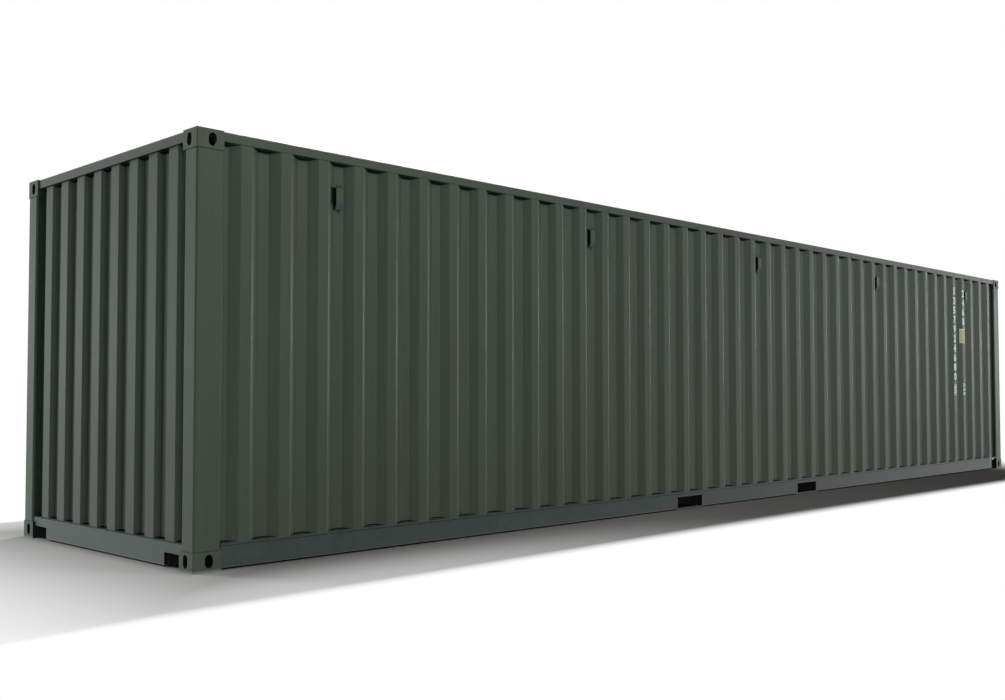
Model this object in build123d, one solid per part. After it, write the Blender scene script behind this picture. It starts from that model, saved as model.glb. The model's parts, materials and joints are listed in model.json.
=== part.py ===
"""Forty-foot steel dry freight container of standard height, doors closed.

The frame is centred: X runs along the container with the closed front end at -X and
the doors at +X, Y runs across, and Z = 0 is the ground under the corner fittings.
Left (-Y) and right (+Y) are the sides as seen by someone who faces the doors.
Lengths are in millimetres.
"""
import os
from math import hypot, sqrt

from build123d import *

# Overall size over the corner fittings
length = 12192.0
width = 2438.0
height = 2591.0

# Corner fittings, cast boxes with three openings each
fitting_length = 178.0
fitting_width = 162.0
fitting_height = 118.0
fitting_plate = 22.0
fitting_wall = 16.0
fitting_back = 12.0
fitting_edge = 7.0
lock_slot_length = 124.5
lock_slot_width = 63.5
lock_inset_x = 103.5
lock_inset_y = 89.5
lash_hole_height = 79.5
side_hole_width = 63.5
side_hole_inset = 101.5
end_hole_width = 51.0
end_hole_inset = 89.0
lash_hole_level = 61.5

# How far the faces of posts, rails and sills lie behind the faces of the fittings
post_setback = 3.0
rail_setback = 4.0
header_setback = 9.0
sill_setback = 13.0
frame_drop = 3.0

# Corner posts, pressed from thick plate
post_wall = 6.0
post_bend = 14.0
front_post_face = 143.0
post_end_return = 66.0
rear_post_face = 46.0
rear_post_jamb = 132.0
rear_frame_setback = 64.0

# Top rails and headers
top_rail_size = 60.0
top_rail_wall = 3.0
tube_corner = 6.0
front_header_height = 64.0
rear_header_height = 134.0
rear_header_depth = 90.0
header_wall = 4.0

# Bottom rails and sills, pressed channels
rail_wall = 4.5
rail_bend = 9.0
rail_underside = 13.0
rail_top = 158.0
rail_top_flange = 50.0
rail_foot_flange = 32.0
rail_lip_height = 14.0
rail_lip_proud = 2.0
relief_length = 240.0
relief_depth = 62.0
sill_underside = 11.0
sill_top = 157.0
sill_top_flange = 66.0
sill_foot_flange = 52.0
rear_sill_depth = 110.0
notch_width = 203.0
notch_top = 90.0
notch_liner_wall = 9.0
notch_liner_setback = 22.0
notch_liner_depth = 96.0

# Side walls: trapezoidal corrugation, flush with the rails on its outer flats
side_sheet = 2.0
side_pitch = 280.0
side_flat = 72.0
side_slope = 68.0
side_depth = 36.0
side_first_flat = 296.0

# Front wall: steeper and shallower corrugation
front_sheet = 2.0
front_pitch = 257.5
front_flat = 115.0
front_slope = 18.0
front_depth = 31.0
front_wall_setback = 23.0

# Roof: one sheet with stamped cross troughs
roof_sheet = 2.0
roof_end_plain = 300.0
trough_pitch = 209.0
trough_top_width = 139.0
trough_floor_width = 91.0
trough_depth = 20.0
trough_end_inset = 75.0
corner_plate_wall = 2.0
corner_plate_inset = 34.0
corner_plate_reach = 150.0

# Underframe and floor
cross_height = 122.0
cross_flange = 45.0
cross_wall = 4.0
cross_pitch = 300.0
cross_gap = 12.0
floor_thickness = 28.0
floor_level = 170.0
floor_gap = 2.0

# Fork pockets, through the bottom rails from side to side
pocket_width = 371.0
pocket_spacing = 2055.0
pocket_pair_offset = -208.0
pocket_floor = 19.0
pocket_roof = 113.0
pocket_wall = 6.0
strap_wall = 7.0
strap_lap = 30.0
strap_depth = 50.0

# Vents in the side walls
vent_first_flat = 2
vent_count = 5
vent_top_drop = 197.0
vent_plate_height = 192.0
vent_plate_reach = 31.0
vent_plate_wall = 2.0
vent_wing = 35.0
vent_hood_height = 150.0
vent_hood_width = 57.0
vent_hood_depth = 28.0
vent_hood_wall = 2.0
vent_hood_shift = 9.0
vent_hood_top_drop = 20.0
vent_hood_taper = 40.0
vent_hood_tuck = 15.0
vent_hood_slope = 10.0

# Doors
door_setback = 78.0
door_thickness = 50.0
door_wall = 3.2
door_stile = 100.0
door_rail = 130.0
door_gap = 12.0
door_meeting_gap = 12.0
door_bottom_gap = 14.0
door_panel_sheet = 2.0
door_panel_depth = 36.0
door_panel_slope = 34.0
door_rib_count = 5
door_rib_height = 160.0
gasket_setback = 10.0
gasket_depth = 24.0

# Hinges
hinge_count = 4
hinge_end_distance = 260.0
hinge_axis_setback = 32.0
hinge_axis_reach = 20.0
hinge_blade_height = 104.0
hinge_blade_wall = 9.0
hinge_blade_reach = 95.0
hinge_barrel_radius = 16.0
hinge_pin_radius = 9.0
hinge_pin_overhang = 4.0
hinge_lug_height = 30.0
hinge_gap = 2.0
running_fit = 0.25

# Locking gear
bar_radius = 17.0
bar_setback = 38.0
bar_line_inner = 235.0
bar_line_outer = 815.0
bar_overrun = 72.0
cam_height = 46.0
cam_heel = 21.0
cam_reach = 44.0
cam_thickness = 22.0
keeper_wall = 8.0
keeper_width = 84.0
keeper_height = 62.0
keeper_gap = 2.0
guide_flats = (1, 4)
guide_height = 44.0
guide_width = 76.0
guide_wall = 6.0
guide_cheek = 7.0
handle_flat = 2
handle_shift = 43.0
handle_length = 430.0
handle_thickness = 9.0
handle_height = 34.0
hub_radius = 24.0
hub_height = 88.0
catch_height = 70.0
catch_width = 56.0
catch_inset = 60.0

half_length = length / 2
half_width = width / 2
lock_spacing_x = length - 2 * lock_inset_x
lock_spacing_y = width - 2 * lock_inset_y
post_side_return = rail_setback - post_setback + side_depth + side_sheet
os.makedirs("parts", exist_ok=True)


def save(shape, name):
    export_step(shape, "parts/" + name + ".step")


def along_x(profile, start, end):
    """Extrudes a profile drawn in (Y, Z) from X = start to X = end."""
    return extrude(Plane.YZ.offset(start) * profile, amount=end - start)


def along_y(profile, start, end):
    """Extrudes a profile drawn in (X, Z) from Y = start to Y = end."""
    return extrude(Plane.XZ.offset(-end) * profile, amount=end - start)


def along_z(profile, start, end):
    """Extrudes a profile drawn in (X, Y) from Z = start to Z = end."""
    return extrude(Plane.XY.offset(start) * profile, amount=end - start)


def block(x0, x1, y0, y1, z0, z1):
    centre = ((x0 + x1) / 2, (y0 + y1) / 2, (z0 + z1) / 2)
    return Pos(*centre) * Box(x1 - x0, y1 - y0, z1 - z0)


def rectangle(x0, x1, y0, y1):
    return Pos((x0 + x1) / 2, (y0 + y1) / 2) * Rectangle(x1 - x0, y1 - y0)


def folded(points, wall):
    """A sheet with sharp folds: the path, and the same path moved one wall to its left."""
    normals = []
    for (x0, y0), (x1, y1) in zip(points, points[1:]):
        run = hypot(x1 - x0, y1 - y0)
        normals.append((-(y1 - y0) / run, (x1 - x0) / run))
    moved = []
    for index, (x, y) in enumerate(points):
        before = normals[max(index - 1, 0)]
        after = normals[min(index, len(normals) - 1)]
        spread = 1 + before[0] * after[0] + before[1] * after[1]
        shift = wall / spread
        moved.append((x + shift * (before[0] + after[0]), y + shift * (before[1] + after[1])))
    return Polygon(*points, *reversed(moved), align=None)


def pressed(points, wall, bend):
    """A plate with round folds; bend is the outer radius of each fold."""
    outline = folded(points, wall)
    corners = points[1:-1]
    sketch = outline
    for corner in corners:
        near = sketch.vertices().sort_by_distance((corner[0], corner[1], 0))[0]
        sketch = fillet(near, bend)
    return sketch


def tube(x0, x1, y0, y1, wall, corner):
    """Profile of a rectangular tube with rounded outer corners."""
    outer = Pos((x0 + x1) / 2, (y0 + y1) / 2) * RectangleRounded(x1 - x0, y1 - y0, corner)
    return outer - rectangle(x0 + wall, x1 - wall, y0 + wall, y1 - wall)


def obround(tall, wide):
    return SlotOverall(tall, wide, rotation=90)


def eight_sided_end(base, centre, reach):
    """Profile from X = base that ends as half an octagon round the centre (X, Y)."""
    x, y = centre
    corner = reach * (sqrt(2) - 1)
    return Polygon(
        (base, y - reach), (x + corner, y - reach), (x + reach, y - corner),
        (x + reach, y + corner), (x + corner, y + reach), (base, y + reach), align=None)


def mirrored_y(shape):
    return mirror(shape, about=Plane.XZ)


def fitting():
    """The fitting of the front left bottom corner."""
    x0, y0 = -half_length, -half_width
    body = block(x0, x0 + fitting_length, y0, y0 + fitting_width, 0, fitting_height)
    outer_edges = body.edges().filter_by(Axis.Z).sort_by(Axis.X)[:2].sort_by(Axis.Y)[:1]
    body = fillet(outer_edges, fitting_edge)
    cavity = block(
        x0 + fitting_wall, x0 + fitting_length - fitting_back,
        y0 + fitting_wall, y0 + fitting_width - fitting_back,
        fitting_plate, fitting_height - fitting_back)
    lock = Pos(-lock_spacing_x / 2, -lock_spacing_y / 2) * SlotOverall(lock_slot_length, lock_slot_width)
    side = Pos(x0 + side_hole_inset, lash_hole_level) * obround(lash_hole_height, side_hole_width)
    end = Pos(y0 + end_hole_inset, lash_hole_level) * obround(lash_hole_height, end_hole_width)
    body -= cavity
    body -= along_z(lock, 0, fitting_plate)
    body -= along_y(side, y0, y0 + fitting_wall)
    body -= along_x(end, x0, x0 + fitting_wall)
    return body


def fittings():
    front_left = fitting()
    for side in ("left", "right"):
        front = front_left if side == "left" else mirrored_y(front_left)
        rear = mirror(front, about=Plane.YZ)
        top = Plane.XY.offset(height / 2)
        save(front, "fitting_front_" + side + "_bottom")
        save(rear, "fitting_rear_" + side + "_bottom")
        save(mirror(front, about=top), "fitting_front_" + side + "_top")
        save(mirror(rear, about=top), "fitting_rear_" + side + "_top")


def front_post():
    """Front left post: two outer faces and a return at each free edge."""
    x0, y0 = -half_length + post_setback, -half_width + post_setback
    x1 = -half_length + fitting_length
    y1 = -half_width + front_post_face
    path = [
        (x0 + post_end_return, y1), (x0, y1), (x0, y0), (x1, y0), (x1, y0 + post_side_return)]
    return along_z(pressed(path, post_wall, post_bend), fitting_height, height - fitting_height)


def rear_post():
    """Rear left post: narrow rear face and a deep jamb that the door closes against."""
    x0, y0 = half_length - post_setback, -half_width + post_setback
    x1 = half_length - fitting_length
    y1 = y0 + rear_post_face
    path = [
        (x1, y0 + post_side_return), (x1, y0), (x0, y0), (x0, y1), (x0 - rear_post_jamb, y1)]
    return along_z(pressed(path, post_wall, post_bend), fitting_height, height - fitting_height)


def posts():
    for shape, name in ((front_post(), "front_post"), (rear_post(), "rear_post")):
        save(shape, name + "_left")
        save(mirrored_y(shape), name + "_right")


rail_start = -half_length + fitting_length
rail_end = half_length - fitting_length
rail_face = half_width - rail_setback
frame_top = height - frame_drop
floor_underside = floor_level - floor_thickness
pocket_centres = [pocket_pair_offset + side * pocket_spacing / 2 for side in (-1, 1)]

# How many corrugations fit between the posts
side_run = length - fitting_length - side_first_flat - side_flat - side_slope
side_count = int(side_run // side_pitch) + 1
side_inner_flat = side_pitch - side_flat - 2 * side_slope
front_count = int((width - 2 * front_post_face) // front_pitch)


def top_rail():
    inner = rail_face - top_rail_size
    profile = tube(-rail_face, -inner, frame_top - top_rail_size, frame_top, top_rail_wall, tube_corner)
    return along_x(profile, rail_start, rail_end)


def rail_relief(wall, low):
    """Space outside the left rail, where its web curves in beside the rear fitting.

    The space reaches one wall further in than the outside of the curve.
    """
    radius = (relief_length ** 2 + relief_depth ** 2) / (2 * relief_depth)
    start = rail_end - relief_length
    strip = rectangle(start, rail_end, -half_width, -rail_face + 2 * relief_depth)
    strip -= Pos(start, -rail_face + radius) * Circle(radius - wall)
    return along_z(strip, low, floor_underside)


def bottom_rail():
    """Left bottom rail: a channel with a proud top lip, cut for the fork pockets."""
    face = -rail_face
    path = [
        (face + rail_foot_flange, rail_underside), (face, rail_underside),
        (face, rail_top), (face + rail_top_flange, rail_top)]
    channel = pressed(list(reversed(path)), rail_wall, rail_bend)
    rail = along_x(channel, rail_start, rail_end)
    rail += block(
        rail_start, rail_end, face - rail_lip_proud, face + rail_wall,
        rail_top - rail_lip_height, rail_top)
    for centre in pocket_centres:
        rail -= block(
            centre - pocket_width / 2, centre + pocket_width / 2,
            face - rail_setback, face + rail_foot_flange, pocket_floor, pocket_roof)
    curved_web = rail_relief(rail_wall, rail_underside) - rail_relief(0, rail_underside)
    return rail - rail_relief(0, 0) + curved_web


def rails():
    for shape, name in ((top_rail(), "top_rail"), (bottom_rail(), "bottom_rail")):
        save(shape, name + "_left")
        save(mirrored_y(shape), name + "_right")


def side_wall():
    """Left side wall, from the front post to the rear post."""
    outer = -rail_face
    inner = outer + side_depth
    points = [(rail_start, inner)]
    for index in range(side_count):
        flat = -half_length + side_first_flat + index * side_pitch
        points.append((flat - side_slope, inner))
        points.append((flat, outer))
        points.append((flat + side_flat, outer))
        points.append((flat + side_flat + side_slope, inner))
    points.append((rail_end, inner))
    return along_z(folded(points, side_sheet), rail_top, frame_top - top_rail_size)


def fitting_seats():
    """The eight blocks of space that the corner fittings fill."""
    seats = []
    for x in (-half_length, half_length - fitting_length):
        for y in (-half_width, half_width - fitting_width):
            for z in (0, height - fitting_height):
                seats.append(block(
                    x, x + fitting_length, y, y + fitting_width, z, z + fitting_height))
    return seats


def front_wall():
    """Corrugated end wall, between the returns of the front posts."""
    outer = -half_length + front_wall_setback
    inner = outer + front_depth
    edge = half_width - front_post_face
    first = -((front_count - 1) * front_pitch + front_flat) / 2
    points = [(inner, -edge)]
    for index in range(front_count):
        flat = first + index * front_pitch
        points.append((inner, flat - front_slope))
        points.append((outer, flat))
        points.append((outer, flat + front_flat))
        points.append((inner, flat + front_flat + front_slope))
    points.append((inner, edge))
    points.reverse()
    wall = along_z(folded(points, front_sheet), sill_top, frame_top - front_header_height)
    return wall - fitting_seats()


def front_header():
    face = -half_length + header_setback
    edge = half_width - fitting_width
    profile = tube(
        face, face + top_rail_size, frame_top - front_header_height, frame_top,
        top_rail_wall, tube_corner)
    return along_y(profile, -edge, edge)


def notch_cuts(face, inward):
    """Cut-outs of a sill beside its two corner fittings."""
    edge = half_width - fitting_width
    start = face - inward * rail_setback
    end = face + inward * (sill_foot_flange + rail_setback)
    cuts = []
    for side in (-1, 1):
        y0, y1 = sorted((side * half_width, side * (edge - notch_width)))
        cuts.append(block(min(start, end), max(start, end), y0, y1, 0, notch_top))
    return cuts


def notch_liners(face, inward):
    """Bent plates that line the notches, a little behind the face of the sill."""
    edge = half_width - fitting_width
    start = face + inward * notch_liner_setback
    end = start + inward * notch_liner_depth
    liners = []
    for side in (-1, 1):
        cheek = side * (edge - notch_width)
        path = [(side * edge, notch_top), (cheek, notch_top), (cheek, sill_underside)]
        if side < 0:
            path.reverse()
        liners.append(along_x(folded(path, notch_liner_wall), min(start, end), max(start, end)))
    return liners


def sill(face, inward, depth):
    """A channel from post to post, notched beside the fittings and lined there."""
    edge = half_width - front_post_face
    path = [
        (face + inward * depth, sill_top), (face, sill_top),
        (face, sill_underside), (face + inward * sill_foot_flange, sill_underside)]
    if inward < 0:
        path.reverse()
    channel = along_y(pressed(path, rail_wall, rail_bend), -edge, edge)
    return channel - notch_cuts(face, inward) - fitting_seats() + notch_liners(face, inward)


def rear_header():
    face = half_length - rear_frame_setback
    edge = half_width - fitting_width
    profile = tube(
        face - rear_header_depth, face, frame_top - rear_header_height, frame_top,
        header_wall, tube_corner)
    return along_y(profile, -edge, edge)


def frames():
    save(front_wall(), "front_wall")
    save(front_header(), "front_header")
    save(rear_header(), "rear_header")
    save(sill(-half_length + sill_setback, 1, sill_top_flange), "front_sill")
    save(sill(half_length - rear_frame_setback, -1, rear_sill_depth), "rear_sill")
    wall = side_wall()
    save(wall, "side_wall_left")
    save(mirrored_y(wall), "side_wall_right")


def wedge_profile(mouth, shoulder):
    """Section of a trough: as wide as its mouth at the top, one shoulder less on each side below."""
    return Polygon(
        (-mouth / 2, frame_top), (-mouth / 2 + shoulder, frame_top - trough_depth),
        (mouth / 2 - shoulder, frame_top - trough_depth), (mouth / 2, frame_top), align=None)


def roof():
    """Sheet between the top rails with cross troughs stamped into it."""
    x0 = -half_length + header_setback + top_rail_size
    x1 = half_length - rear_frame_setback - rear_header_depth
    edge = rail_face - top_rail_size
    sheet = block(x0, x1, -edge, edge, frame_top - roof_sheet, frame_top)
    count = int((length - 2 * roof_end_plain) // trough_pitch)
    first = (x0 + x1) / 2 - (count - 1) * trough_pitch / 2
    shoulder = (trough_top_width - trough_floor_width) / 2
    reach = edge - trough_end_inset
    across = along_y(wedge_profile(trough_top_width, shoulder), -reach, reach)
    trough = across & along_x(wedge_profile(2 * reach, shoulder), -trough_top_width, trough_top_width)
    places = [Pos(first + index * trough_pitch) for index in range(count)]
    pans = [place * Pos(0, 0, -roof_sheet) * trough for place in places]
    hollows = [place * trough for place in places]
    return sheet + pans - hollows - fitting_seats()


def corner_plates():
    """Thin plates on the roof around the four top fittings."""
    plates = []
    for x_side in (-1, 1):
        for y_side in (-1, 1):
            x0, x1 = sorted((
                x_side * (half_length - corner_plate_inset),
                x_side * (half_length - fitting_length - corner_plate_reach)))
            y0, y1 = sorted((
                y_side * (half_width - corner_plate_inset),
                y_side * (half_width - fitting_width - corner_plate_reach)))
            plates.append(block(x0, x1, y0, y1, frame_top, frame_top + corner_plate_wall))
    return Compound(children=[plate - fitting_seats() for plate in plates])


def cross_members():
    """Channels across the underframe, left out where the fork pockets pass."""
    top = floor_underside
    edge = rail_face - rail_wall
    relief = rail_relief(rail_wall, 0)
    start = -half_length + sill_setback + notch_liner_setback + notch_liner_depth
    end = half_length - rear_frame_setback - notch_liner_setback - notch_liner_depth
    count = int((end - start) // cross_pitch)
    first = (start + end - (count - 1) * cross_pitch) / 2
    members = []
    for index in range(count):
        middle = first + index * cross_pitch
        clear = pocket_width / 2 + pocket_wall + cross_gap + cross_flange / 2
        if min(abs(middle - centre) for centre in pocket_centres) < clear:
            continue
        x0, x1 = middle - cross_flange / 2, middle + cross_flange / 2
        path = [(x1, top), (x0, top), (x0, top - cross_height), (x1, top - cross_height)]
        members.append(along_y(folded(path, cross_wall), -edge, edge) - relief - mirrored_y(relief))
    return Compound(children=members)


def fork_tunnels():
    """Inverted troughs from web to web of the bottom rails."""
    edge = rail_face - rail_wall
    tunnels = []
    for centre in pocket_centres:
        x0, x1 = centre - pocket_width / 2, centre + pocket_width / 2
        path = [(x0, pocket_floor), (x0, pocket_roof), (x1, pocket_roof), (x1, pocket_floor)]
        tunnels.append(along_y(folded(path, pocket_wall), -edge, edge))
    return Compound(children=tunnels)


def pocket_straps():
    """Flat bars under the rails that close the pockets below."""
    straps = []
    reach = pocket_width / 2 + strap_lap
    for centre in pocket_centres:
        for side in (-1, 1):
            y0, y1 = sorted((side * rail_face, side * (rail_face - strap_depth)))
            straps.append(block(
                centre - reach, centre + reach, y0, y1, rail_underside - strap_wall, rail_underside))
    return Compound(children=straps)


def floor_boards():
    x0 = -half_length + sill_setback + sill_top_flange + floor_gap
    x1 = half_length - rear_frame_setback - rear_sill_depth - floor_gap
    edge = rail_face - rail_top_flange - floor_gap
    return block(x0, x1, -edge, edge, floor_underside, floor_level)


def vent(middle):
    """A screen on the inner flat of the wall and up its front slope, under an open hood."""
    plate_back = -rail_face + side_depth
    plate_front = plate_back - vent_plate_wall
    top = height - vent_top_drop
    fold = middle - side_inner_flat / 2
    rise = vent_wing * side_depth / side_slope
    screen = folded(
        [(middle + vent_plate_reach, plate_back), (fold, plate_back), (fold - vent_wing, plate_back - rise)],
        vent_plate_wall)
    plate = along_z(screen, top - vent_plate_height, top)
    hood_top = top - vent_hood_top_drop
    hood_low = hood_top - vent_hood_height
    front = plate_front - vent_hood_depth
    path = [
        (plate_front, hood_top), (front, hood_top - vent_hood_slope),
        (front, hood_low + vent_hood_taper), (front + vent_hood_tuck, hood_low),
        (plate_front, hood_low)]
    start = middle - vent_hood_shift - vent_hood_width / 2
    return plate + along_x(folded(path, vent_hood_wall), start, start + vent_hood_width)


def vents():
    places = []
    first = -half_length + side_first_flat + side_flat + side_slope + side_inner_flat / 2
    step = (side_count - 2 * vent_first_flat - 2) // (vent_count - 1)
    for index in range(vent_count):
        places.append(first + (vent_first_flat + index * step) * side_pitch)
    return Compound(children=[vent(middle) for middle in places])


def underframe_and_roof():
    save(roof(), "roof_sheet")
    save(corner_plates(), "roof_corner_plates")
    save(cross_members(), "cross_members")
    save(fork_tunnels(), "fork_tunnels")
    save(pocket_straps(), "pocket_straps")
    save(floor_boards(), "floor_boards")
    left = vents()
    save(left, "vents_left")
    save(mirrored_y(left), "vents_right")


jamb = half_width - post_setback - rear_post_face
opening_floor = sill_top
opening_roof = frame_top - rear_header_height
leaf_outer = -(jamb - door_gap)
leaf_inner = -door_meeting_gap / 2
leaf_bottom = opening_floor + door_bottom_gap
leaf_top = opening_roof - door_gap
leaf_face = half_length - door_setback
panel_face = leaf_face - door_wall
panel_low = leaf_bottom + door_rail
panel_high = leaf_top - door_rail
panel_pitch = (panel_high - panel_low) / door_rib_count


def flat_level(number):
    """Height of the flat above a rib of the panel, counted from the bottom."""
    return panel_low + number * panel_pitch


def door_frame():
    """Left leaf frame: four members, each open towards the inside."""
    back = leaf_face - door_thickness
    window = (leaf_outer + door_stile, leaf_inner - door_stile, panel_low, panel_high)
    frame = block(back, leaf_face, leaf_outer, leaf_inner, leaf_bottom, leaf_top)
    hollow = block(
        back, leaf_face - door_wall, leaf_outer + door_wall, leaf_inner - door_wall,
        leaf_bottom + door_wall, leaf_top - door_wall)
    hollow -= block(
        back, leaf_face, window[0] - door_wall, window[1] + door_wall,
        window[2] - door_wall, window[3] + door_wall)
    return frame - hollow - block(back, leaf_face, *window)


def door_panel():
    """Left leaf panel, folded into broad level ribs."""
    inner = panel_face - door_panel_depth
    half = door_rib_height / 2
    points = [(panel_face, panel_low)]
    for index in range(door_rib_count):
        middle = flat_level(index + 0.5)
        points.append((panel_face, middle - half - door_panel_slope))
        points.append((inner, middle - half))
        points.append((inner, middle + half))
        points.append((panel_face, middle + half + door_panel_slope))
    points.append((panel_face, panel_high))
    profile = folded(points, door_panel_sheet)
    return along_y(profile, leaf_outer + door_stile, leaf_inner - door_stile)


def door_gasket():
    """Rubber ring between the left leaf and the frame of the opening."""
    x1 = leaf_face - gasket_setback
    x0 = x1 - gasket_depth
    ring = block(x0, x1, -jamb, 0, opening_floor, opening_roof)
    return ring - block(x0, x1, leaf_outer, leaf_inner, leaf_bottom, leaf_top)


hinge_x = half_length - hinge_axis_setback
hinge_y = -(jamb - hinge_axis_reach)
hinge_low = leaf_bottom + hinge_end_distance
hinge_high = leaf_top - hinge_end_distance
hinge_step = (hinge_high - hinge_low) / (hinge_count - 1)
hinge_levels = [hinge_low + index * hinge_step for index in range(hinge_count)]


def hinge_blades():
    """Left leaf blades: a plate on the leaf, an arm and a barrel round the pin."""
    bore = Pos(hinge_x, hinge_y) * Circle(hinge_pin_radius + running_fit)
    barrel = Pos(hinge_x, hinge_y) * Circle(hinge_barrel_radius)
    edge = hinge_y - hinge_barrel_radius
    plate = rectangle(leaf_face, leaf_face + hinge_blade_wall, leaf_outer, leaf_outer + hinge_blade_reach)
    arm_side = max(edge, leaf_outer)
    arm = rectangle(leaf_face, hinge_x, arm_side, hinge_y + hinge_barrel_radius)
    profile = plate + arm + barrel - bore
    half = hinge_blade_height / 2
    return Compound(children=[along_z(profile, z - half, z + half) for z in hinge_levels])


def hinge_lugs():
    """Left post lugs, one above and one below each blade."""
    bore = Pos(hinge_x, hinge_y) * Circle(hinge_pin_radius + running_fit)
    reach = hinge_barrel_radius
    corner = reach * (sqrt(2) - 1)
    profile = Polygon(
        (hinge_x - reach, -jamb), (hinge_x + reach, -jamb), (hinge_x + reach, hinge_y + corner),
        (hinge_x + corner, hinge_y + reach), (hinge_x - corner, hinge_y + reach),
        (hinge_x - reach, hinge_y + corner), align=None) - bore
    start = hinge_blade_height / 2 + hinge_gap
    lugs = []
    for z in hinge_levels:
        lugs.append(along_z(profile, z + start, z + start + hinge_lug_height))
        lugs.append(along_z(profile, z - start - hinge_lug_height, z - start))
    return Compound(children=lugs)


def hinge_pins():
    reach = hinge_blade_height / 2 + hinge_gap + hinge_lug_height + hinge_pin_overhang
    pin = Pos(hinge_x, hinge_y) * Circle(hinge_pin_radius)
    return Compound(children=[along_z(pin, z - reach, z + reach) for z in hinge_levels])


bar_x = half_length - bar_setback
bar_lines = (bar_line_inner, bar_line_outer)
bar_bottom = opening_floor - bar_overrun
bar_top = opening_roof + bar_overrun
frame_face = half_length - rear_frame_setback


def handle_rows():
    """For each bar: its line, the level of its handle and the way that the handle points."""
    rows = []
    for line, way in ((bar_line_inner, -1), (bar_line_outer, 1)):
        rows.append((-line, flat_level(handle_flat) + way * handle_shift, way))
    return rows


def locking_bars():
    """Bars with what is welded to them: a cam at each end and the hub for the handle."""
    bars = []
    for line, z, way in handle_rows():
        centre = Pos(bar_x, line)
        bar = along_z(centre * Circle(bar_radius), bar_bottom, bar_top)
        cam = rectangle(
            bar_x - cam_thickness / 2, bar_x + cam_thickness / 2, line - cam_heel, line + cam_reach)
        for end in (bar_bottom, bar_top - cam_height):
            bar += along_z(cam, end, end + cam_height)
        hub = eight_sided_end(bar_x - hub_radius / 2, (bar_x, line), hub_radius)
        bars.append(bar + along_z(hub, z - hub_height / 2, z + hub_height / 2))
    return Compound(children=bars)


def cam_keepers():
    """Channel-shaped keepers on the header and the sill, each lip outside its cam."""
    keepers = []
    for line in bar_lines:
        lip = -line + cam_reach + keeper_gap
        back = rectangle(
            frame_face, frame_face + keeper_wall, lip + keeper_wall - keeper_width, lip + keeper_wall)
        hook = rectangle(frame_face, bar_x + cam_thickness / 2, lip, lip + keeper_wall)
        for z in (bar_bottom, bar_top - cam_height):
            middle = z + cam_height / 2
            keepers.append(along_z(back + hook, middle - keeper_height / 2, middle + keeper_height / 2))
    return Compound(children=keepers)


def bar_guide(line, z, seat):
    """Strap over one bar with a foot on each side; seat is the X of the face that it stands on."""
    radius = bar_radius + running_fit
    feet = rectangle(seat, seat + guide_wall, -line - guide_width / 2, -line + guide_width / 2)
    strap = eight_sided_end(seat, (bar_x, -line), radius + guide_cheek)
    room = rectangle(seat, bar_x, -line - radius, -line + radius) + Pos(bar_x, -line) * Circle(radius)
    return along_z(feet + strap - room, z - guide_height / 2, z + guide_height / 2)


def bar_guides():
    guides = []
    for line in bar_lines:
        guides.append(bar_guide(line, leaf_bottom + door_rail / 2, leaf_face))
        guides.append(bar_guide(line, leaf_top - door_rail / 2, leaf_face))
        for number in guide_flats:
            guides.append(bar_guide(line, flat_level(number), panel_face))
    return Compound(children=guides)


def door_handles():
    """Flat bars, each from the hub of its locking bar to its catch."""
    handles = []
    face = bar_x + hub_radius
    for line, z, way in handle_rows():
        y0, y1 = sorted((line - way * hub_radius, line + way * handle_length))
        handles.append(block(
            face, face + handle_thickness, y0, y1, z - handle_height / 2, z + handle_height / 2))
    return Compound(children=handles)


def handle_catches():
    """Stands on the panel that hold the free ends of the handles."""
    catches = []
    for line, z, way in handle_rows():
        middle = line + way * (handle_length - catch_inset)
        catches.append(block(
            panel_face, bar_x + hub_radius, middle - catch_width / 2, middle + catch_width / 2,
            z - catch_height / 2, z + catch_height / 2))
    return Compound(children=catches)


def save_pair(shape, name):
    """Saves one node for the left leaf and its mirror image for the right leaf."""
    save(shape, name + "_left")
    save(mirrored_y(shape), name + "_right")


def both_leaves(shape, name):
    """Saves the pieces of both leaves as one node."""
    save(Compound(children=[shape, mirrored_y(shape)]), name)


def doors():
    save_pair(door_frame(), "door_frame")
    save_pair(door_panel(), "door_panel")
    save_pair(door_gasket(), "door_gasket")
    both_leaves(hinge_blades(), "hinge_blades")
    both_leaves(hinge_lugs(), "hinge_lugs")
    both_leaves(hinge_pins(), "hinge_pins")
    both_leaves(locking_bars(), "locking_bars")
    both_leaves(cam_keepers(), "cam_keepers")
    both_leaves(bar_guides(), "bar_guides")
    both_leaves(door_handles(), "door_handles")
    both_leaves(handle_catches(), "handle_catches")


fittings()
posts()
rails()
frames()
underframe_and_roof()
doors()
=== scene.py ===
import json
from math import cos, pi, radians, sin

import bmesh
import bpy
from mathutils import Matrix, Vector

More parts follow.
